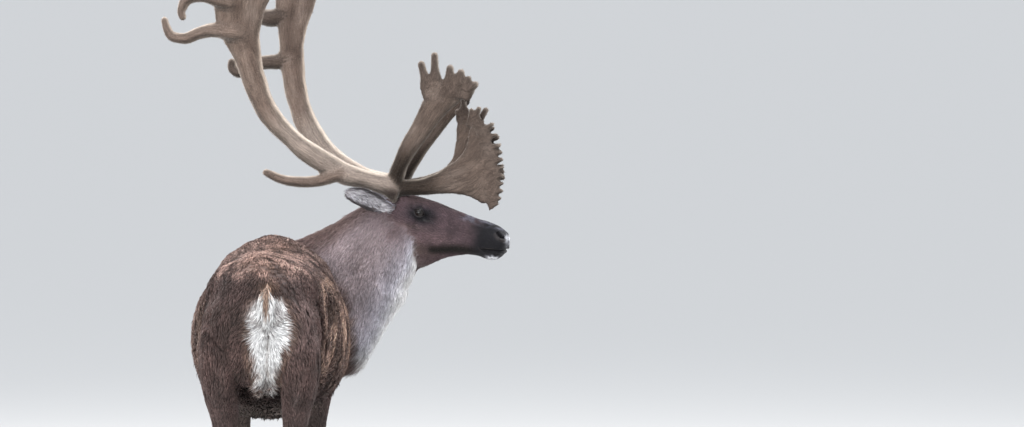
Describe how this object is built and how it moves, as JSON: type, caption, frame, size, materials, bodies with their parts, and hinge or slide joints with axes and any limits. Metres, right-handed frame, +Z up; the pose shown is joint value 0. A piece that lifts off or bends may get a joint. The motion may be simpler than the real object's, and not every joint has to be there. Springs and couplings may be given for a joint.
{
  "type": "reindeer",
  "caption": "Bull reindeer in summer velvet standing on all fours, seen from behind with its neck turned to one side; a still life-size animal model.",
  "frame": {"origin": "on the ground, under the middle of the whole model's box", "axes": "+X the animal's right, the way its head points; +Y forward along the trunk; +Z up"},
  "size_m": [1.1169, 1.7959, 2.3642],
  "materials": {
    "coat_body": "dense dark brown summer coat with paler, golden tips on the flanks and a white rump patch",
    "coat_neck": "short grey-brown coat, paling to white under the throat",
    "coat_head": "very short dark brown coat, near black at the muzzle, with a white rim at the nose and lips",
    "coat_leg": "short dark brown coat, pale above the hooves",
    "coat_white": "long white hair with an orange-brown stripe",
    "coat_ear": "soft pale grey hair, darker along the rim and inside",
    "velvet": "short brown velvet over the growing antler, paler at the edges",
    "eye": "wet, very dark brown",
    "horn": "dark hoof horn, worn smooth at the edges"
  },
  "bodies": {
    "root": {"antler_left_beam_lower": "velvet", "antler_left_beam_middle": "velvet", "antler_left_bez": "velvet", "antler_left_brow": "velvet", "antler_left_palm": "velvet", "antler_left_rear_tine_lower": "velvet", "antler_left_rear_tine_upper": "velvet", "antler_right_back_tine": "velvet", "antler_right_beam_lower": "velvet", "antler_right_beam_middle": "velvet", "antler_right_bez": "velvet", "antler_right_brow": "velvet", "antler_right_palm": "velvet", "antler_right_rear_tine_lower": "velvet", "antler_right_rear_tine_upper": "velvet", "ear_left": "coat_ear", "ear_right": "coat_ear", "eye_left": "eye", "eye_right": "eye", "fore_left_claw_inner": "horn", "fore_left_claw_outer": "horn", "fore_left_dewclaw_inner": "horn", "fore_left_dewclaw_outer": "horn", "fore_left_foot": "coat_leg", "fore_left_forearm": "coat_leg", "fore_left_shoulder": "coat_body", "fore_right_claw_inner": "horn", "fore_right_claw_outer": "horn", "fore_right_dewclaw_inner": "horn", "fore_right_dewclaw_outer": "horn", "fore_right_foot": "coat_leg", "fore_right_forearm": "coat_leg", "fore_right_shoulder": "coat_body", "head": "coat_head", "hind_left_claw_inner": "horn", "hind_left_claw_outer": "horn", "hind_left_dewclaw_inner": "horn", "hind_left_dewclaw_outer": "horn", "hind_left_foot": "coat_leg", "hind_left_shank": "coat_leg", "hind_left_thigh": "coat_body", "hind_right_claw_inner": "horn", "hind_right_claw_outer": "horn", "hind_right_dewclaw_inner": "horn", "hind_right_dewclaw_outer": "horn", "hind_right_foot": "coat_leg", "hind_right_shank": "coat_leg", "hind_right_thigh": "coat_body", "neck": "coat_neck", "tail": "coat_white", "trunk": "coat_body"}
  },
  "joints": []
}
